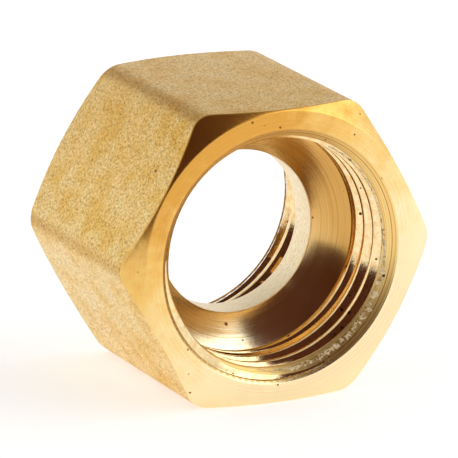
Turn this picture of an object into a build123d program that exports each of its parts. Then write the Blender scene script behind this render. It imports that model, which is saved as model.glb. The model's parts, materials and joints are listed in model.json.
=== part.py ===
from build123d import *
import os
from math import ceil, cos, radians, sin, tan

# Hexagonal female-to-female flare coupling, turned and drilled from one brass forging.
# It lies on one of its flats with its bore along Y. The near mouth faces -Y.
# The origin is the middle of the flat that it rests on. All sizes are in millimetres.

# Hexagonal body
across_flats = 27.0
body_length = 21.5
edge_radius = 2.3              # soft forged edge between two flats
chamfer_inset = 0.15           # the corner chamfer's circle lies this far inside the flats
corner_chamfer_angle = 32.0    # measured from the end face

# Thread G 5/8, Whitworth form, the same at both ends
thread_major = 22.911
thread_tpi = 14
thread_flank = 27.5            # half of the 55 degree thread angle
thread_height_share = 0.54043  # groove depth that the tapping drill leaves, as a share of the pitch
root_radius_share = 0.137329   # root radius of the Whitworth form, as a share of the pitch
tap_lead = 2.15                # length over which the groove fades out
tap_to_shoulder = 0.15         # the groove's lead ends this far short of the drill's shoulder
tap_tip = 0.65                 # length of the tap past its lead
near_thread_phase = 115.9      # where the groove starts at the tap's tip, degrees round the bore
far_thread_phase = 133.7

# Mouths, drill point, flare seats and throat
near_mouth_clearance = 0.2445  # edge of the mouth outside the thread's major radius
far_mouth_clearance = 0.5945
mouth_angle = 45.0             # all cone angles are measured from the bore axis
drill_depth = 6.9              # end face to the shoulder of the tapping drill
drill_point_angle = 59.0
seat_step = 0.55               # the seat's outer edge lies this far inside the drill's wall
seat_angle = 50.0
throat_diameter = 15.1

# Small edge breaks
mouth_edge_radius = 0.12
throat_edge_radius = 0.15

# Worked out from the sizes above
pitch = 25.4 / thread_tpi
thread_height = thread_height_share * pitch
root_radius = root_radius_share * pitch
half_length = body_length / 2
end_face_diameter = across_flats - 2 * chamfer_inset
thread_minor = thread_major - 2 * thread_height
near_mouth_diameter = thread_major + 2 * near_mouth_clearance
far_mouth_diameter = thread_major + 2 * far_mouth_clearance
seat_outer_diameter = thread_minor - 2 * seat_step
thread_end_depth = drill_depth - tap_to_shoulder
full_thread_depth = thread_end_depth - tap_lead
tap_depth = thread_end_depth + tap_tip
cut_overlap = 0.3              # how far a cutter reaches past the surface that it opens


def cone_height(outer_diameter, inner_diameter, angle):
    """Axial length of a cone between two diameters, its half angle taken from the axis."""
    return (outer_diameter - inner_diameter) / 2 / tan(radians(angle))


def hex_body():
    """Hexagonal bar with soft edges, both ends chamfered as if turned in a lathe."""
    outline = RegularPolygon(across_flats / 2, 6, major_radius=False)
    bar = extrude(outline, body_length)
    bar = Pos(0, 0, -half_length) * bar
    bar = fillet(bar.edges().filter_by(Axis.Z), edge_radius)
    corner = across_flats / 2 / cos(radians(30)) + 1
    drop = (corner - end_face_diameter / 2) * tan(radians(corner_chamfer_angle))
    turned = Polyline(
        (0, half_length),
        (end_face_diameter / 2, half_length),
        (corner, half_length - drop),
        (corner, drop - half_length),
        (end_face_diameter / 2, -half_length),
        (0, -half_length),
        close=True,
    )
    envelope = revolve(Plane.XZ * make_face(turned), Axis.Z)
    return bar & envelope


def corner_at(face, radius, height):
    """The corner of a flat profile at that radius and height in the XY plane."""
    return face.vertices().sort_by_distance((radius, height, 0))[0]


def end_bore(mouth_diameter):
    """Half of the bore, from outside one end to the middle of the throat."""
    mouth = mouth_diameter / 2
    throat = throat_diameter / 2
    mouth_end = half_length - cone_height(mouth_diameter, thread_minor, mouth_angle)
    shoulder = half_length - drill_depth
    seat_start = shoulder - cone_height(thread_minor, seat_outer_diameter, drill_point_angle)
    seat_end = seat_start - cone_height(seat_outer_diameter, throat_diameter, seat_angle)
    outline = Polyline(
        (0, half_length + pitch),
        (across_flats, half_length + pitch),
        (across_flats, half_length),
        (mouth, half_length),
        (thread_minor / 2, mouth_end),
        (thread_minor / 2, shoulder),
        (seat_outer_diameter / 2, seat_start),
        (throat, seat_end),
        (throat, 0),
        (0, 0),
        close=True,
    )
    profile = make_face(outline)
    profile = fillet(corner_at(profile, mouth, half_length), mouth_edge_radius)
    profile = fillet(corner_at(profile, throat, seat_end), min(throat_edge_radius, seat_end))
    return revolve(Plane.XZ * profile, Axis.Z)


def groove_profile():
    """Section of the thread groove in the XZ plane, level with the origin."""
    root = thread_major / 2
    centre = root - root_radius
    flank = radians(thread_flank)
    side_at = centre + root_radius * sin(flank)
    side_half = root_radius * cos(flank)
    open_at = thread_minor / 2 - cut_overlap
    open_half = side_half + (side_at - open_at) * tan(flank)
    lower = Line((open_at, -open_half), (side_at, -side_half))
    bottom = ThreePointArc((side_at, -side_half), (root, 0), (side_at, side_half))
    upper = Line((side_at, side_half), (open_at, open_half))
    closing = Line((open_at, open_half), (open_at, -open_half))
    return Plane.XZ * make_face(Curve() + [lower, bottom, upper, closing])


def tap_envelope():
    """Outer shape of the tap: a cylinder with a tapered lead towards the throat."""
    outer = thread_major / 2 + cut_overlap
    tip = thread_minor / 2 - cut_overlap / 2
    profile = Polyline(
        (0, half_length + 2 * pitch),
        (outer, half_length + 2 * pitch),
        (outer, half_length - full_thread_depth),
        (tip, half_length - thread_end_depth),
        (0, half_length - thread_end_depth),
        close=True,
    )
    return revolve(Plane.XZ * make_face(profile), Axis.Z)


def thread_cutters(phase):
    """Right-hand groove of one end, one turn to a cutter, from the tap's tip outwards."""
    one_turn = sweep(groove_profile(), path=Helix(pitch, pitch, thread_major / 2), is_frenet=True)
    start = Pos(0, 0, half_length - tap_depth) * Rot(0, 0, phase)
    envelope = tap_envelope()
    turns = ceil(tap_depth / pitch) + 1
    cutters = []
    for turn in range(turns):
        cutter = start * Pos(0, 0, turn * pitch) * one_turn
        reaches_lead = turn * pitch < tap_depth - full_thread_depth + pitch
        cutters.append(cutter & envelope if reaches_lead else cutter)
    return cutters


body = hex_body()
body -= end_bore(near_mouth_diameter)
body -= Rot(180, 0, 0) * end_bore(far_mouth_diameter)
for cutter in thread_cutters(near_thread_phase):
    body -= cutter
for cutter in thread_cutters(-far_thread_phase):
    body -= Rot(180, 0, 0) * cutter

lying = Plane(origin=(0, 0, across_flats / 2), x_dir=(-1, 0, 0), z_dir=(0, -1, 0))
coupling_body = lying * body

os.makedirs("parts", exist_ok=True)
export_step(coupling_body, "parts/coupling_body.step")
print("coupling_body", coupling_body.volume, coupling_body.bounding_box())
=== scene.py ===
# %% [markdown]
# # A brass flare coupling on a white table
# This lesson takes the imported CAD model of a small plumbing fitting, gives it the metal that a
# real one has, and puts it in a plain white studio. The fitting is one piece of brass:
# a hexagon for the spanner, a thread in each end, and a cone seat behind each thread.
# The frame is the CAD model's own: metres, +Z up, the bore along Y, the near mouth facing -Y.
# The CAD model is loaded rather than modelled again, so its sizes are already right, and the
# sizes that the later steps need are read from it.

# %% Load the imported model
import json
from math import cos, radians, sin

import bmesh
import bpy
from mathutils import Euler, Matrix, Vector, noise


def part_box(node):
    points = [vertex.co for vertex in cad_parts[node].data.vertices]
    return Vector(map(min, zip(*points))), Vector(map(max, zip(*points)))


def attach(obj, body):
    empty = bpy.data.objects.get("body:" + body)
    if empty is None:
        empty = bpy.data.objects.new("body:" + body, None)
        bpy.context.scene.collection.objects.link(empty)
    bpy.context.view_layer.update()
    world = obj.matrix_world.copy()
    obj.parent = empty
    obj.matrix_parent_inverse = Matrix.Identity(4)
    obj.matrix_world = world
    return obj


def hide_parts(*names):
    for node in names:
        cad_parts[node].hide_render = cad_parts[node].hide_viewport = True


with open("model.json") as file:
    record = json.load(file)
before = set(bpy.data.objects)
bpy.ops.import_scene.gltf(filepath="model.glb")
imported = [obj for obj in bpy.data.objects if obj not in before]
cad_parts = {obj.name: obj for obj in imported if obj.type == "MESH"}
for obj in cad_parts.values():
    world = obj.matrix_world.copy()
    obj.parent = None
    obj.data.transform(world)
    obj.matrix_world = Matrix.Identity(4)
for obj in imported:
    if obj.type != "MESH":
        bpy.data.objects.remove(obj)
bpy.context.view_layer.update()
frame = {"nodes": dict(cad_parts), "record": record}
MM = 0.001
low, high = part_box("coupling_body")
across_flats = high[2] - low[2]
half_length = (high[1] - low[1]) / 2
axis_height = low[2] + across_flats / 2
mounts = {m["name"]: m for m in frame["record"]["mounts"]}
crest_radius = mounts["near_thread"]["dims"]["r_mm"] * MM
throat_radius = mounts["throat"]["dims"]["r_mm"] * MM
print("across flats", round(across_flats / MM, 2), "mm, length", round(2 * half_length / MM, 2))
print("thread crests at", round(crest_radius / MM, 3), "mm, throat", round(throat_radius / MM, 3))

# %% [markdown]
# ## The body as one clean mesh
# The real body is a forging that was turned, drilled and tapped. The CAD model of it arrives as
# loose triangles. They could be shown as they are, but then every edge is a knife edge, which no
# real part has, and smooth shading doesn't work across triangles that share no points. So the body
# here is a copy of the CAD mesh with its triangles joined. The copy then stands for the CAD node,
# which stays behind, hidden.

# %% Join a copy of the CAD triangles
shape = bmesh.new()
shape.from_mesh(frame["nodes"]["coupling_body"].data)
join_distance = 0.0005 * MM
bmesh.ops.remove_doubles(shape, verts=shape.verts, dist=join_distance)
print("joined mesh:", len(shape.verts), "points,", len(shape.faces), "faces")

# %% [markdown]
# ## Broken outer edges
# Tumbling and shot blasting wear the edges between the hexagon and the turned ends to a radius
# of about a tenth of a millimetre, which catches a thin line of light. A Bevel modifier would
# also round the thread crests, so the bevel operator is given only the sharp edges that lie
# outside the mouths.

# %% Break the outer edges
def bore_radius(point):
    """Distance of a point from the axis of the bore."""
    return (point.x ** 2 + (point.z - axis_height) ** 2) ** 0.5


def is_sharp(edge, degrees):
    """Whether two faces meet at the edge at more than that angle."""
    return len(edge.link_faces) == 2 and edge.calc_face_angle(0) > radians(degrees)


def break_edges(what, edges, size, segments):
    """Bevel those edges of the body by a size."""
    bmesh.ops.bevel(shape, geom=edges, offset=size, offset_type="OFFSET", segments=segments,
                    profile=0.5, affect="EDGES", clamp_overlap=True, material=-1)
    open_edges = sum(len(edge.link_faces) != 2 for edge in shape.edges)
    print(what, "edges broken, open edges now:", open_edges)


edge_break = 0.09 * MM
outer_edge_angle = 20
outside_mouths = crest_radius + 2.2 * MM
outer_edges = []
for edge in shape.edges:
    nearest = min(bore_radius(v.co) for v in edge.verts)
    if is_sharp(edge, outer_edge_angle) and nearest > outside_mouths:
        outer_edges.append(edge)
break_edges(f"{len(outer_edges)} outer", outer_edges, edge_break, 3)

# %% [markdown]
# ## Thread crests
# The drill leaves each thread crest flat and the tap throws up a small burr on both sides, which
# tumbling rounds over. So the crests' edges are broken too, by about as much as the outer ones.

# %% Break the crests' edges
crest_break = 0.11 * MM
crest_edge_angle = 30
crest_tolerance = 0.01 * MM
crests_end_depth = 6.6 * MM
crest_edges = []
for edge in shape.edges:
    in_thread = all(half_length - abs(v.co.y) < crests_end_depth for v in edge.verts)
    on_crest = all(abs(bore_radius(v.co) - crest_radius) < crest_tolerance for v in edge.verts)
    if is_sharp(edge, crest_edge_angle) and in_thread and on_crest:
        crest_edges.append(edge)
break_edges(f"{len(crest_edges)} crest", crest_edges, crest_break, 2)

# %% [markdown]
# ## Which tool made which face
# The hexagon was forged and then shot blasted, the ends and corner chamfers were turned in a
# lathe, the threads were tapped, and the seats and the throat were drilled and reamed. Each
# tool leaves its own finish. One material could tell them apart with a mask, but it is simpler
# to give each face the finish of the tool that reaches it: by its distance from the axis, its
# depth from the nearer end, and the way it faces.

# %% Sort the faces
BLASTED, TURNED, MOUTH, TAPPED, SEAT, THROAT = range(6)
flats_start_radius = across_flats / 2 - 0.9 * MM
end_face_start_radius = crest_radius + 1.05 * MM
side_facing = 0.12              # at most this much of a flat's normal points along the bore
cone_facing = cos(radians(45))
cone_tolerance = 0.03
mouth_depth = 1.7 * MM
seat_depth = 6.93 * MM
throat_depth = 9.12 * MM
for face in shape.faces:
    facing = abs(face.normal.y)
    middle = face.calc_center_median()
    radius = bore_radius(middle)
    depth = half_length - abs(middle.y)
    if radius > flats_start_radius and facing < side_facing:
        face.material_index = BLASTED
    elif radius > end_face_start_radius:
        face.material_index = TURNED
    elif abs(facing - cone_facing) < cone_tolerance and depth < mouth_depth:
        face.material_index = MOUTH
    elif depth < seat_depth:
        face.material_index = TAPPED
    elif depth < throat_depth:
        face.material_index = SEAT
    else:
        face.material_index = THROAT
counts = [sum(face.material_index == kind for face in shape.faces) for kind in range(6)]
print("faces blasted, turned, mouth, tapped, seat, throat:", counts)

# %% [markdown]
# ## Smooth shading and a mark on the rounded edges
# Curved faces shade smoothly, and an edge stays sharp only where two faces meet at a clear
# angle. The soft forged edges of the hexagon are rubbed a little duller than its flats. That
# needs a mark that the material can read, so each point of the mesh stores how far its normal
# leans away from the nearest flat's.

# %% Shade the faces and mark the rounded edges
kept_sharp_angle = 24
for face in shape.faces:
    face.smooth = True
for edge in shape.edges:
    if is_sharp(edge, kept_sharp_angle):
        edge.smooth = False
up = Vector((0, 0, 1))
flat_directions = [Matrix.Rotation(radians(60 * k), 3, "Y") @ up for k in range(6)]
still_flat = 0.998              # cosine of the lean at which a flat starts to round over
fully_round = 0.908
edge_layer = shape.verts.layers.float.new("round_edge")
for vert in shape.verts:
    squareness = max(vert.normal.dot(way) for way in flat_directions)
    lean = (still_flat - squareness) / (still_flat - fully_round)
    vert[edge_layer] = min(1.0, max(0.0, lean))
print("sharp edges kept:", sum(not edge.smooth for edge in shape.edges))

# %% [markdown]
# ## The copy in the CAD node's place
# The finished copy stands for the CAD node and rides on the part's one body.

# %% Finish the copy
body_mesh = bpy.data.meshes.new("coupling_metal")
shape.to_mesh(body_mesh)
shape.free()
body = bpy.data.objects.new("coupling_metal", body_mesh)
bpy.context.scene.collection.objects.link(body)
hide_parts("coupling_body")
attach(body, "root")
print("coupling_metal:", len(body_mesh.polygons), "faces")

# %% [markdown]
# ## Torn metal where the threads start
# A tap tears the brass where its first groove breaks out through the mouth's cone. What it
# leaves is a ragged strip, wide on one side of the bore and narrow on the other. Bump could
# only paint it, and its broken edge shows. So it is a thin strip: a short row of points spun
# round the axis, each point then pushed in and out by noise, and the strip given a back, so
# that it is closed.

# %% Spin a plain strip
def spun_strip(inner, outer, first, last):
    """A flat strip round the origin's Y axis, between two radii and two angles in degrees."""
    strip = bmesh.new()
    across = 6
    steps_per_degree = 1.6
    row = []
    for step in range(across + 1):
        radius = inner + (outer - inner) * step / across
        row.append(strip.verts.new((radius, 0, 0)))
    line = [strip.edges.new(pair) for pair in zip(row, row[1:])]
    bmesh.ops.rotate(strip, verts=row, matrix=Matrix.Rotation(radians(-first), 3, "Y"))
    bmesh.ops.spin(strip, geom=row + line, axis=(0, 1, 0), cent=(0, 0, 0),
                   angle=-radians(last - first), steps=round((last - first) * steps_per_degree),
                   use_merge=False)
    return strip


# %% [markdown]
# Each point of the plain strip then goes to its place on a 45 degree cone. Two noises, one of
# lumps a few tenths of a millimetre across and one about three times finer, tear its outer edge
# and raise its middle. Its two long edges are sunk below the cone, so that no gap shows under
# them. The cone is the near mouth's at both ends. The far mouth is 0.35 mm wider in radius, so
# the far strip doesn't touch it: it stands 0.16 to 0.34 mm off its own mouth's cone.

# %% Tear the strip
mouth_edge_radius = crest_radius + 1.225 * MM   # the near mouth's
sunk = 0.02 * MM
cone_lean = 0.7                 # about the cosine of the cone's 45 degrees
edge_margin = 0.1 * MM          # the strip stays this far inside the mouth's edge
face_margin = 0.05 * MM         # and this far below the end face
narrowest = 0.16                # share of the width that is left far from the widest place
widening_rate = 2.4             # widening starts 57 degrees from the widest place
widening_start = 1.3            # and is complete 17 degrees from it
coarse_lumps, coarse_across = 26, 1.2   # to a radian round the bore, and across the strip
fine_lumps, fine_across = 75, 4
plain_height, coarse_height, fine_height = 0.4, 0.4, 0.9   # shares of the raggedness


def tear(strip, end, inner, outer, wide_at, raggedness, seed):
    """Tear a plain strip and lay it on the near mouth's cone, or its mirror at the far end."""
    widest = Matrix.Rotation(radians(-wide_at), 3, "Y") @ Vector((1, 0, 0))
    for vert in strip.verts:
        radius = (vert.co.x ** 2 + vert.co.z ** 2) ** 0.5
        outward = Vector((vert.co.x, 0, vert.co.z)) / radius
        share = (radius - inner) / (outer - inner)
        widening = widening_rate * outward.dot(widest) - widening_start
        widening = max(0.0, min(1.0, widening))
        width = (outer - inner) * (narrowest + (1 - narrowest) * widening)
        coarse = noise.noise(outward * coarse_lumps + Vector((0, seed, share * coarse_across)))
        fine = noise.noise(outward * fine_lumps + Vector((0, seed, share * fine_across)))
        radius = inner + width * share + (coarse + fine) * raggedness * share
        radius = min(radius, mouth_edge_radius - edge_margin)
        crown = 1 - abs(2 * share - 1)
        lumps = plain_height + coarse_height * coarse + fine_height * fine
        off_cone = (raggedness * lumps * crown - sunk) * cone_lean
        depth = max(mouth_edge_radius - radius - off_cone, face_margin)
        spot = outward * (radius - off_cone)
        vert.co = Vector((spot.x, end * (half_length - depth), spot.z))


# %% [markdown]
# A strip alone would be a sheet with no thickness. Extruding all of its faces and pushing the
# new ones 0.02 mm both outwards and towards the middle of the body closes it. After that its
# normals are recalculated, so that they point outwards.

# %% Close the strips
def torn_strip(name, end, inner, outer, first, last, wide_at, raggedness, seed):
    """A closed ragged strip of torn metal on the mouth at one end."""
    strip = spun_strip(inner, outer, first, last)
    tear(strip, end, inner, outer, wide_at, raggedness, seed)
    back = bmesh.ops.extrude_face_region(strip, geom=strip.faces[:])["geom"]
    for vert in [part for part in back if isinstance(part, bmesh.types.BMVert)]:
        outward = Vector((vert.co.x, 0, vert.co.z)).normalized()
        vert.co += (outward - end * Vector((0, 1, 0))) * sunk
    bmesh.ops.translate(strip, vec=(0, 0, axis_height), verts=strip.verts)
    bmesh.ops.recalc_face_normals(strip, faces=strip.faces)
    for face in strip.faces:
        face.smooth = True
    open_edges = sum(len(edge.link_faces) != 2 for edge in strip.edges)
    mesh = bpy.data.meshes.new(name)
    strip.to_mesh(mesh)
    strip.free()
    piece = bpy.data.objects.new(name, mesh)
    bpy.context.scene.collection.objects.link(piece)
    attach(piece, "root")
    print(name, len(mesh.polygons), "faces, open edges:", open_edges)
    return piece


near_burr = torn_strip("near_thread_burr", end=-1, inner=crest_radius + 0.08 * MM,
                       outer=crest_radius + 0.84 * MM, first=-100, last=62, wide_at=-45,
                       raggedness=0.08 * MM, seed=3.1)
far_burr = torn_strip("far_thread_burr", end=1, inner=crest_radius - 0.03 * MM,
                      outer=crest_radius + 0.4 * MM, first=-110, last=60, wide_at=-40,
                      raggedness=0.10 * MM, seed=7.4)

# %% [markdown]
# ## Colours and nodes
# Colours are written as the sRGB hex values that a colour picker shows, and one function turns
# them to the linear values that Blender computes with. Another adds a node of any kind: its
# settings come first, a colour ramp's stops among them, and then what goes into its sockets.
# A third starts a material and gives the place on the object in millimetres, so that every
# pattern's size can be written as a real one. A fourth ends it with its colour and relief.

# %% Helpers for the finishes
def linear(hex_colour):
    """Linear RGBA from an sRGB hex value."""
    parts = [int(hex_colour[i:i + 2], 16) / 255 for i in (1, 3, 5)]
    values = [c / 12.92 if c <= 0.04045 else ((c + 0.055) / 1.055) ** 2.4 for c in parts]
    return (*values, 1.0)


def add_node(tree, kind, settings=None, inputs=None):
    """A node with its settings, and its inputs linked to a socket or set to a value."""
    node = tree.nodes.new(kind)
    for name, value in (settings or {}).items():
        if name == "stops":
            points = node.color_ramp.elements
            while len(points) < len(value):
                points.new(0.5)
            for point, (position, colour) in zip(points, value):
                point.position = position
                point.color = linear(colour)
        else:
            setattr(node, name, value)
    for name, value in (inputs or {}).items():
        if isinstance(value, bpy.types.NodeSocket):
            tree.links.new(value, node.inputs[name])
        else:
            node.inputs[name].default_value = value
    return node


def new_finish(name, roughness=0.5, metallic=0.0):
    """A material, its node tree and shader, and the place on the object in millimetres."""
    material = bpy.data.materials.new(name)
    material.use_nodes = True
    tree = material.node_tree
    shader = tree.nodes["Principled BSDF"]
    shader.inputs["Metallic"].default_value = metallic
    shader.inputs["Roughness"].default_value = roughness
    place = add_node(tree, "ShaderNodeTexCoord")
    in_mm = add_node(tree, "ShaderNodeVectorMath", {"operation": "SCALE"},
                     {0: place.outputs["Object"], "Scale": 1 / MM})
    print("finish", name, "roughness", roughness)
    return material, tree, shader, in_mm.outputs[0]


def end_finish(tree, shader, colour, height, strength, depth):
    """Give the shader its colour, and a relief of that strength and depth in millimetres."""
    bump = add_node(tree, "ShaderNodeBump", None,
                    {"Height": height, "Strength": strength, "Distance": depth * MM})
    tree.links.new(colour, shader.inputs["Base Color"])
    tree.links.new(bump.outputs["Normal"], shader.inputs["Normal"])
    print("  relief", depth, "mm deep")


print("middle grey #808080 is", round(linear("#808080")[0], 3), "in linear light")

# %% [markdown]
# ## Dirt specks and turning rings
# A handled brass fitting carries a scatter of dark specks: pits, dust and dried cutting oil.
# They could be painted, but a Voronoi pattern does it everywhere: it splits space into cells,
# a random value picks some of the cells, and another sets how large the dot in each is.
# The turned faces carry fine rings that a lathe's feed cuts round the bore's axis, so their
# pattern is a noise over the distance from it. A wave pattern would be too regular.

# %% Specks and rings
def speckled(tree, at, under, hex_colour, spacing, rarity, size):
    """A colour with dots of another in some of the cells, which lie about a spacing apart in mm."""
    cells = add_node(tree, "ShaderNodeTexVoronoi", None, {"Vector": at, "Scale": 1 / spacing})
    chance = add_node(tree, "ShaderNodeSeparateColor", None, {"Color": cells.outputs["Color"]})
    rare = add_node(tree, "ShaderNodeMath", {"operation": "GREATER_THAN"},
                    {0: chance.outputs["Red"], 1: rarity})
    reach = add_node(tree, "ShaderNodeMath", {"operation": "MULTIPLY"},
                     {0: chance.outputs["Green"], 1: size / spacing})
    near = add_node(tree, "ShaderNodeMath", {"operation": "LESS_THAN"},
                    {0: cells.outputs["Distance"], 1: reach.outputs[0]})
    spot = add_node(tree, "ShaderNodeMath", {"operation": "MULTIPLY"},
                    {0: rare.outputs[0], 1: near.outputs[0]})
    mix = add_node(tree, "ShaderNodeMix", {"data_type": "RGBA"},
                   {"Factor": spot.outputs[0], "A": under, "B": linear(hex_colour)})
    return mix.outputs["Result"]


def turned_rings(tree, at, feed):
    """A one-dimensional noise over the distance from the bore's axis, as fine as the feed."""
    off_axis = add_node(tree, "ShaderNodeVectorMath", {"operation": "MULTIPLY_ADD"},
                        {0: at, 1: (1, 0, 1), 2: (0, 0, -axis_height / MM)})
    radius = add_node(tree, "ShaderNodeVectorMath", {"operation": "LENGTH"},
                      {0: off_axis.outputs[0]})
    rings = add_node(tree, "ShaderNodeTexNoise", {"noise_dimensions": "1D"},
                     {"W": radius.outputs["Value"], "Scale": 1 / feed, "Detail": 4.0,
                      "Roughness": 0.8})
    return rings.outputs["Fac"]


# %% [markdown]
# ## Finish 1: forged and shot-blasted brass
# Forging brass (CuZn40Pb2) is hot pressed and then blasted with fine steel shot, which strips
# the scale and leaves a satin skin of tiny overlapping dents. To the eye it is pale, dry and
# even, with a fine sparkle and no clear reflections. The shot is about 0.3 mm across, so the
# dents are drawn at that size, and the grain between them a little finer. A second, much
# larger noise gives the faint cloudy patches that such a skin has.

# %% Blasted hexagon
shot_size = 0.28        # millimetres, as are all the pattern sizes below
grain_size = 0.22
patch_size = 2.9
blasted, tree, shader, at = new_finish("brass_forged_and_shot_blasted", 0.40, 1.0)
grain = add_node(tree, "ShaderNodeTexNoise", None,
                 {"Vector": at, "Scale": 1 / grain_size, "Detail": 3.0, "Roughness": 0.85})
dents = add_node(tree, "ShaderNodeTexVoronoi", {"feature": "SMOOTH_F1"},
                 {"Vector": at, "Scale": 1 / shot_size, "Smoothness": 0.4})
clouds = add_node(tree, "ShaderNodeTexNoise", None,
                  {"Vector": at, "Scale": 1 / patch_size, "Detail": 5.0, "Roughness": 0.65})
# The grain's tone is partly real grain and partly painted sparkle: its brightest grains are painted
# glints.
grain_and_sparkle_stops = [(0.32, "#927740"), (0.42, "#E0C281"), (0.53, "#FFE9AE"), (0.64, "#FFFFF0")]
grain_and_sparkle_tone = add_node(tree, "ShaderNodeValToRGB", {"stops": grain_and_sparkle_stops},
                      {"Fac": grain.outputs["Fac"]})
patch_stops = [(0.36, "#F8E09E"), (0.5, "#FFF3D6"), (0.64, "#FFF9EE")]
patch_tone = add_node(tree, "ShaderNodeValToRGB", {"stops": patch_stops},
                      {"Fac": clouds.outputs["Fac"]})
skin = add_node(tree, "ShaderNodeMix", {"data_type": "RGBA", "blend_type": "MULTIPLY"},
                {"Factor": 1.0, "A": grain_and_sparkle_tone.outputs["Color"], "B": patch_tone.outputs["Color"]})
# Painted shade in the dents: each dent is painted darker towards its bottom.
dent_shade_stops = [(0.06, "#B49C6A"), (0.24, "#FFFFFF")]
dent_shade_tone = add_node(tree, "ShaderNodeValToRGB", {"stops": dent_shade_stops},
                     {"Fac": dents.outputs["Distance"]})
dent_shaded = add_node(tree, "ShaderNodeMix", {"data_type": "RGBA", "blend_type": "MULTIPLY"},
                  {"Factor": 0.7, "A": skin.outputs["Result"], "B": dent_shade_tone.outputs["Color"]})

# %% [markdown]
# The rounded edges of the hexagon are rubbed slightly duller, which the stored mark says, and the
# flats have a few small dark pits. The upper flats are a shade browner, painted shade for the
# dimmer light that comes from overhead, which a ramp over the height gives. The relief of dents and
# grain goes to a Bump node: at a tenth of a millimetre deep it is too shallow to be worth real
# geometry.

# %% Blasted hexagon: edges, pits and relief
rounded = add_node(tree, "ShaderNodeAttribute", {"attribute_name": "round_edge"})
rubbed = add_node(tree, "ShaderNodeMix", {"data_type": "RGBA", "blend_type": "MULTIPLY"},
                  {"Factor": rounded.outputs["Fac"], "A": dent_shaded.outputs["Result"],
                   "B": linear("#E4D6B8")})
pitted = speckled(tree, at, rubbed.outputs["Result"], "#6A522C",
                  spacing=1.2, rarity=0.86, size=0.17)
split = add_node(tree, "ShaderNodeSeparateXYZ", None, {"Vector": at})
height = add_node(tree, "ShaderNodeMapRange", None,
                  {"Value": split.outputs["Z"], "From Min": 0.0, "From Max": across_flats / MM})
# Painted shade: the ramp makes the upper flats browner, for the dimmer light from overhead.
top_shade_stops = [(0.3, "#FFFFFF"), (0.7, "#FCF4DE"), (1.0, "#F0E4C8")]
top_shade_tone = add_node(tree, "ShaderNodeValToRGB", {"stops": top_shade_stops},
                       {"Fac": height.outputs[0]})
top_shaded = add_node(tree, "ShaderNodeMix", {"data_type": "RGBA", "blend_type": "MULTIPLY"},
                   {"Factor": 1.0, "A": pitted, "B": top_shade_tone.outputs["Color"]})
relief = add_node(tree, "ShaderNodeMath", {"operation": "MULTIPLY_ADD"},
                  {0: dents.outputs["Distance"], 1: 0.6, 2: grain.outputs["Fac"]})
end_finish(tree, shader, top_shaded.outputs["Result"], relief.outputs[0],
           strength=0.8, depth=0.09)
body_mesh.materials.append(blasted)

# %% [markdown]
# ## Finish 2: turned brass
# The end faces and corner chamfers are cut in a lathe. To the eye they are smoother and more golden
# than the blasted flats, paler at the lower right and more orange at the upper left, with faint
# rings. That paler lower right and more orange upper left are painted light and shade, for the
# bright and the darker surroundings that the faces mirror. The tool's feed is about 0.17 mm, so the
# rings are a one-dimensional noise of that size over the distance from the axis. The painted light
# and shade is one slanted gradient broken up by a cloudy noise, with a few orange water spots under
# the dark specks.

# %% Turned ends
tool_feed = 0.17
# Painted light and shade: along a slanted gradient broken by clouds, the ends are paler at the
# lower right and more orange up and to the left.
end_shade_cloud_size = 2.2
end_shade_way = (-0.5, 0, 0.87)   # up and to the left, seen from in front of the near mouth
cloud_shift = 16.0              # how far the clouds push the gradient along that way
end_shade_level = end_shade_way[2] * axis_height / MM
end_shade_starts = end_shade_level - 4.6
end_shade_full = end_shade_level + 20.6
turned, tree, shader, at = new_finish("brass_turned", 0.27, 1.0)
rings = turned_rings(tree, at, tool_feed)
slant = add_node(tree, "ShaderNodeVectorMath", {"operation": "DOT_PRODUCT"},
                 {0: at, 1: end_shade_way})
clouds = add_node(tree, "ShaderNodeTexNoise", None,
                  {"Vector": at, "Scale": 1 / end_shade_cloud_size, "Detail": 5.0, "Roughness": 0.65})
broken = add_node(tree, "ShaderNodeMath", {"operation": "MULTIPLY_ADD"},
                  {0: clouds.outputs["Fac"], 1: cloud_shift, 2: slant.outputs["Value"]})
amount = add_node(tree, "ShaderNodeMapRange", None,
                  {"Value": broken.outputs[0], "From Min": end_shade_starts,
                   "From Max": end_shade_full})
# The ramp runs from the painted light of the lower right to the painted shade of the upper left.
end_shade_stops = [(0.05, "#FCE6B8"), (0.25, "#FFEDBE"), (0.5, "#FADD9C"), (0.75, "#F2C672"),
                 (0.95, "#DFA54C")]
end_painted_shade = add_node(tree, "ShaderNodeValToRGB", {"stops": end_shade_stops},
                   {"Fac": amount.outputs[0]})
ring_stops = [(0.36, "#D9BC8C"), (0.48, "#FBF4E6"), (0.6, "#FFFFFF")]
ring_tone = add_node(tree, "ShaderNodeValToRGB", {"stops": ring_stops}, {"Fac": rings})
end_tone = add_node(tree, "ShaderNodeMix", {"data_type": "RGBA", "blend_type": "MULTIPLY"},
                    {"Factor": 0.2, "A": end_painted_shade.outputs["Color"], "B": ring_tone.outputs["Color"]})
spots = speckled(tree, at, end_tone.outputs["Result"], "#EEBA70",
                 spacing=1.6, rarity=0.5, size=0.2)
spotted = speckled(tree, at, spots, "#7A4C1C", spacing=0.9, rarity=0.5, size=0.13)
end_finish(tree, shader, spotted, rings, strength=0.5, depth=0.02)
body_mesh.materials.append(turned)

# %% [markdown]
# ## Finish 3: countersunk mouths
# The cone at each mouth is cut by a countersink, which chatters. To the eye it is a band of
# broken golden rings, darker than the end face, with dirt in the marks. It is made like the
# turned ends, with stronger rings and a rougher surface.

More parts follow.
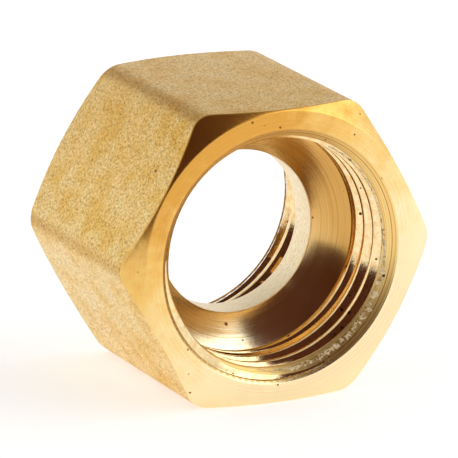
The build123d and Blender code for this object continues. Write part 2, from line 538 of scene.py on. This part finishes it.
# %% Mouths
mouth, tree, shader, at = new_finish("brass_countersunk_mouth", 0.34, 1.0)
rings = turned_rings(tree, at, tool_feed)
ring_stops = [(0.34, "#B8863C"), (0.46, "#F2C878"), (0.6, "#FFE29C")]
tone = add_node(tree, "ShaderNodeValToRGB", {"stops": ring_stops}, {"Fac": rings})
dirty = speckled(tree, at, tone.outputs["Color"], "#5A3A1A",
                 spacing=0.77, rarity=0.6, size=0.17)
end_finish(tree, shader, dirty, rings, strength=0.5, depth=0.02)
body_mesh.materials.append(mouth)

# %% [markdown]
# ## Finish 4: tapped threads
# A tap cuts and burnishes at once, so the flanks come out bright. To the eye they are sharp
# bands of light and dark, because each groove mirrors the one across it. That comes from the
# geometry and a low roughness. The finish only adds faint scuffs and a little dirt.

# %% Tapped threads
scuff_size = 0.62
tapped, tree, shader, at = new_finish("brass_tapped_thread", 0.10, 1.0)
scuffs = add_node(tree, "ShaderNodeTexNoise", None,
                  {"Vector": at, "Scale": 1 / scuff_size, "Detail": 5.0, "Roughness": 0.7})
scuff_stops = [(0.34, "#ECC688"), (0.47, "#F8DAA0"), (0.62, "#FCE8BA")]
tone = add_node(tree, "ShaderNodeValToRGB", {"stops": scuff_stops}, {"Fac": scuffs.outputs["Fac"]})
dirty = speckled(tree, at, tone.outputs["Color"], "#5A3A1A",
                 spacing=0.83, rarity=0.72, size=0.16)
end_finish(tree, shader, dirty, scuffs.outputs["Fac"], strength=0.25, depth=0.03)
body_mesh.materials.append(tapped)

# %% [markdown]
# ## Finish 5: drilled seats
# The cone seats are cut by a form drill and left smooth, because the flare seals on them. To the
# eye they are bright, paler than the threads on one side of the bore and browner on the other, with
# fine marks round it. The marks are a one-dimensional noise over the depth, as fine as the drill's
# feed. The brown is painted shade, for the darker surroundings that the seats mirror on that side,
# which a soft ramp across the bore gives.

# %% Drilled seats
drill_feed = 0.14
# The side of the seats that takes the painted shade, as an angle up from +X.
seat_shade_at = radians(15)        # the browned side, as an angle up from +X
seat_shade_way = (cos(seat_shade_at), 0, sin(seat_shade_at))
seat_level = seat_shade_way[2] * axis_height / MM
seat_shade_starts = seat_level - 4.0
seat_shade_full = seat_level + 9.0
drilled, tree, shader, at = new_finish("brass_drilled_seat", 0.17, 1.0)
split = add_node(tree, "ShaderNodeSeparateXYZ", None, {"Vector": at})
cuts = add_node(tree, "ShaderNodeTexNoise", {"noise_dimensions": "1D"},
                {"W": split.outputs["Y"], "Scale": 1 / drill_feed, "Detail": 4.0, "Roughness": 0.8})
cut_stops = [(0.35, "#ECD09C"), (0.48, "#FDEAC0"), (0.65, "#FFF6DC")]
cut_tone = add_node(tree, "ShaderNodeValToRGB", {"stops": cut_stops}, {"Fac": cuts.outputs["Fac"]})
seat_shade_slant = add_node(tree, "ShaderNodeVectorMath", {"operation": "DOT_PRODUCT"},
                   {0: at, 1: seat_shade_way})
seat_shade_amount = add_node(tree, "ShaderNodeMapRange", None,
                {"Value": seat_shade_slant.outputs["Value"], "From Min": seat_shade_starts,
                 "From Max": seat_shade_full})
# Painted shade: the ramp darkens the seat towards that side of the bore.
seat_shade_stops = [(0.0, "#FFFFFF"), (0.7, "#FFF6E4"), (0.86, "#E8CC9C"), (1.0, "#D4B076")]
seat_shade_tone = add_node(tree, "ShaderNodeValToRGB", {"stops": seat_shade_stops}, {"Fac": seat_shade_amount.outputs[0]})
tone = add_node(tree, "ShaderNodeMix", {"data_type": "RGBA", "blend_type": "MULTIPLY"},
                {"Factor": 1.0, "A": cut_tone.outputs["Color"], "B": seat_shade_tone.outputs["Color"]})
dirty = speckled(tree, at, tone.outputs["Result"], "#8A4F1C",
                 spacing=1.1, rarity=0.88, size=0.2)
end_finish(tree, shader, dirty, cuts.outputs["Fac"], strength=0.45, depth=0.012)
body_mesh.materials.append(drilled)

# %% [markdown]
# ## Finish 6: reamed throat
# The throat is reamed dry and left duller than the seats. To the eye it is the palest part of
# the bore, almost cream, with short streaks round it. The streaks are a noise squeezed along
# the bore, so they are about 0.4 mm long round it and a fifth of that along it.

# %% Reamed throat
streak_length = 0.42
squeeze = 5.0
reamed, tree, shader, at = new_finish("brass_reamed_throat", 0.4, 1.0)
squeezed = add_node(tree, "ShaderNodeMapping", None, {"Vector": at, "Scale": (1.0, squeeze, 1.0)})
streaks = add_node(tree, "ShaderNodeTexNoise", None,
                   {"Vector": squeezed.outputs[0], "Scale": 1 / streak_length, "Detail": 4.0,
                    "Roughness": 0.7})
streak_stops = [(0.34, "#E0C698"), (0.5, "#FDE9C2"), (0.66, "#FFF8E0")]
tone = add_node(tree, "ShaderNodeValToRGB", {"stops": streak_stops},
                {"Fac": streaks.outputs["Fac"]})
end_finish(tree, shader, tone.outputs["Color"], streaks.outputs["Fac"],
           strength=0.35, depth=0.01)
body_mesh.materials.append(reamed)

# %% [markdown]
# ## Finish 7: torn brass
# Metal that the tap tore off is rough and holds dirt in its folds. To the eye it is a broken
# line of cream and brown crumbs, less of a mirror than the cut faces, so it is made only partly
# metallic. The crumbs are about 0.3 mm across.

# %% Torn brass
crumb_size = 0.29
torn, tree, shader, at = new_finish("brass_torn_by_the_tap", 0.65, 0.6)
crumbs = add_node(tree, "ShaderNodeTexNoise", None,
                  {"Vector": at, "Scale": 1 / crumb_size, "Detail": 5.0, "Roughness": 0.75})
crumb_stops = [(0.37, "#6A4E28"), (0.43, "#E0C288"), (0.52, "#FDEBC0"), (0.7, "#FFF8E0")]
tone = add_node(tree, "ShaderNodeValToRGB", {"stops": crumb_stops}, {"Fac": crumbs.outputs["Fac"]})
end_finish(tree, shader, tone.outputs["Color"], crumbs.outputs["Fac"],
           strength=0.6, depth=0.06)
for burr in (near_burr, far_burr):
    burr.data.materials.append(torn)

# %% [markdown]
# ## The table
# The fitting stands on a sheet of white acrylic that is lit from below, which is the usual way
# to lose the shadows under a small product. A brighter lamp would wash out the foot of the
# object and dazzle in the bore, so the sheet glows only half as bright as the tent round it.

# %% Table
table_half_width = 1.5
table_mesh = bpy.data.meshes.new("table_top")
surface = bmesh.new()
bmesh.ops.create_grid(surface, x_segments=1, y_segments=1, size=table_half_width)
surface.to_mesh(table_mesh)
surface.free()
table = bpy.data.objects.new("table_top", table_mesh)
bpy.context.scene.collection.objects.link(table)
acrylic, _, shader, _ = new_finish("white_acrylic_lit_from_below", 0.9)
shader.inputs["Base Color"].default_value = linear("#F2F2F2")
shader.inputs["Emission Color"].default_value = (1, 1, 1, 1)
shader.inputs["Emission Strength"].default_value = 0.52
table_mesh.materials.append(acrylic)
print("table top", 2 * table_half_width, "m square")

# %% [markdown]
# ## The room
# Metal shows what stands round it more than it shows its own colour. The room is a white tent,
# bright at the level of the object and a third as bright overhead, so that the tops of the
# hexagon are calmer than its sides. A ramp over the height of each direction does this without
# an image of a studio.

# %% World
world = bpy.data.worlds.new("white_studio")
bpy.context.scene.world = world
world.use_nodes = True
sky = world.node_tree
way = add_node(sky, "ShaderNodeTexCoord")
height = add_node(sky, "ShaderNodeSeparateXYZ", None, {"Vector": way.outputs["Generated"]})
shade = add_node(sky, "ShaderNodeValToRGB", {"stops": [(0.3, "#FFFFFF"), (0.9, "#9A9A9A")]},
                 {"Fac": height.outputs["Z"]})
sky.links.new(shade.outputs["Color"], sky.nodes["Background"].inputs["Color"])
sky.nodes["Background"].inputs["Strength"].default_value = 1.0
print("white studio tent")

# %% [markdown]
# ## Cards and soft boxes
# In a plain white room brass looks flat. Dark cards round it are mirrored by the bore and the
# chamfers as dark bands, and a soft box or two as bright ones. The cards are brown felt rather
# than black, so that the dark bands stay warm. The same function aims cards and boxes: by an
# azimuth round the object, an elevation and a distance.

# %% Felt, and how a card or a soft box is aimed
felt, _, shader, _ = new_finish("dark_brown_felt", 1.0)
shader.inputs["Base Color"].default_value = linear("#461D06")


def aimed(azimuth, elevation, distance):
    """A place and turn that faces the object. Azimuth 0 is in front of the near mouth."""
    turn = Euler((radians(90 - elevation), 0, radians(azimuth)), "XYZ").to_matrix().to_4x4()
    spot = turn @ Vector((0, 0, distance)) + Vector((0, 0, axis_height))
    return Matrix.Translation(spot) @ turn


def flag(name, azimuth, elevation, distance, width, height):
    """A dark felt card on the stage that the camera doesn't see."""
    mesh = bpy.data.meshes.new(name)
    sheet = bmesh.new()
    bmesh.ops.create_grid(sheet, x_segments=1, y_segments=1, size=0.5)
    bmesh.ops.scale(sheet, vec=(width, height, 1), verts=sheet.verts)
    bmesh.ops.transform(sheet, matrix=aimed(azimuth, elevation, distance), verts=sheet.verts)
    sheet.to_mesh(mesh)
    sheet.free()
    card = bpy.data.objects.new(name, mesh)
    bpy.context.scene.collection.objects.link(card)
    card.visible_camera = False
    card.data.materials.append(felt)
    print(name, width, "by", height, "m")


def soft_box(name, azimuth, elevation, distance, size, power):
    """A rectangular area light that faces the object and that the camera doesn't see."""
    data = bpy.data.lights.new(name, "AREA")
    data.shape = "RECTANGLE"
    data.size, data.size_y = size
    data.energy = power
    light = bpy.data.objects.new(name, data)
    bpy.context.scene.collection.objects.link(light)
    light.matrix_world = aimed(azimuth, elevation, distance)
    light.visible_camera = False
    print(name, power, "W")


# %% [markdown]
# One card stands in front of the near mouth and the other leans over it like a hood. Both soft
# boxes are on the right, one in front and one higher at the side, so that the light comes
# clearly from one side.

# %% Set the cards and soft boxes
flag("front_flag", azimuth=-20, elevation=22, distance=0.75, width=1.09, height=0.66)
flag("hood_flag", azimuth=-6, elevation=53, distance=0.6, width=0.61, height=0.34)
soft_box("window_right", azimuth=38, elevation=30, distance=0.8, size=(0.5, 0.6), power=1.1)
soft_box("window_top_right", azimuth=82, elevation=45, distance=0.8, size=(0.5, 0.5), power=0.9)

# %% [markdown]
# ## The camera
# A long lens from half a metre keeps the hexagon's sides nearly parallel, so its proportions
# can be judged. The camera is aimed at a point near the middle of the bore, and it stands to
# the left of the near mouth and a little above it.

# %% Camera
view_azimuth = 26.42
view_elevation = 15.87
camera_roll = 0.85
camera_distance = 549.26 * MM
aim_offset = Vector((0.067, -0.203, 0)) * MM
camera_data = bpy.data.cameras.new("camera")
camera_data.sensor_width = 36.0
camera_data.lens = 479.2
camera_data.clip_start = 0.01
camera_data.clip_end = 10
camera = bpy.data.objects.new("camera", camera_data)
bpy.context.scene.collection.objects.link(camera)
turn = Euler((radians(90 - view_elevation), 0, -radians(view_azimuth)), "XYZ").to_matrix()
turn = turn @ Matrix.Rotation(radians(camera_roll), 3, "Z")
aim = Vector((0, 0, axis_height)) + turn @ aim_offset
place = Matrix.Translation(aim + turn @ Vector((0, 0, camera_distance)))
camera.matrix_world = place @ turn.to_4x4()
bpy.context.scene.camera = camera
bpy.context.scene.view_settings.view_transform = "Standard"
print("camera at", [round(value, 3) for value in camera.matrix_world.translation])
